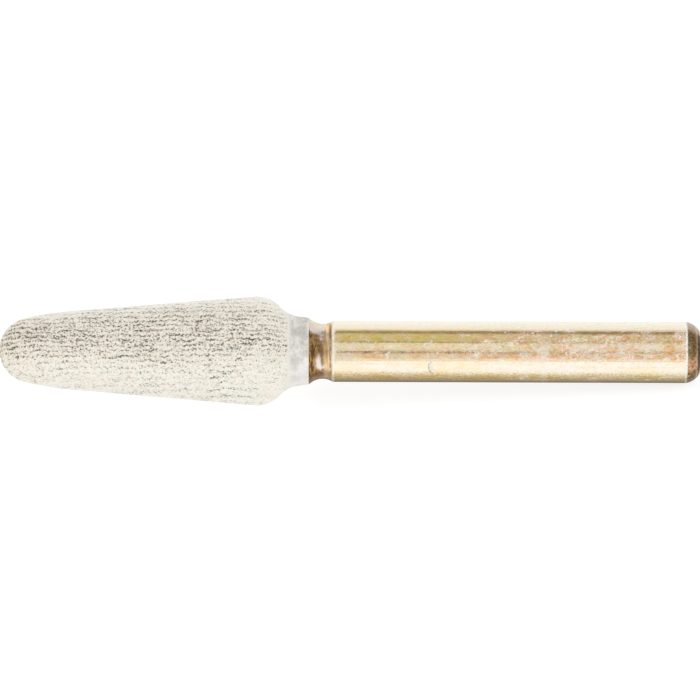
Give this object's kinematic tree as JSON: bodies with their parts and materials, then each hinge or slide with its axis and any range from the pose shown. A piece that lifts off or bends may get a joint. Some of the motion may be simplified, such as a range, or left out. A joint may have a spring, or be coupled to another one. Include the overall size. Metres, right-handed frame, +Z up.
{
  "type": "mounted point",
  "caption": "Tapered abrasive head with a round nose, cemented on a turned, yellow-plated steel shank with a grooved neck; for grinding and finishing in a rotary hand tool.",
  "frame": {"origin": "on the axis, where the shank's gripping cylinder begins behind the neck groove", "axes": "+X along the axis from the head towards the free end of the shank, +Z up"},
  "size_m": [0.0684, 0.0106, 0.0106],
  "materials": {
    "abrasive": "matte",
    "cement": "matte",
    "plated_steel": "satin"
  },
  "bodies": {
    "root": {"abrasive_head": "abrasive", "bonding_cement": "cement", "shank": "plated_steel"}
  },
  "joints": []
}
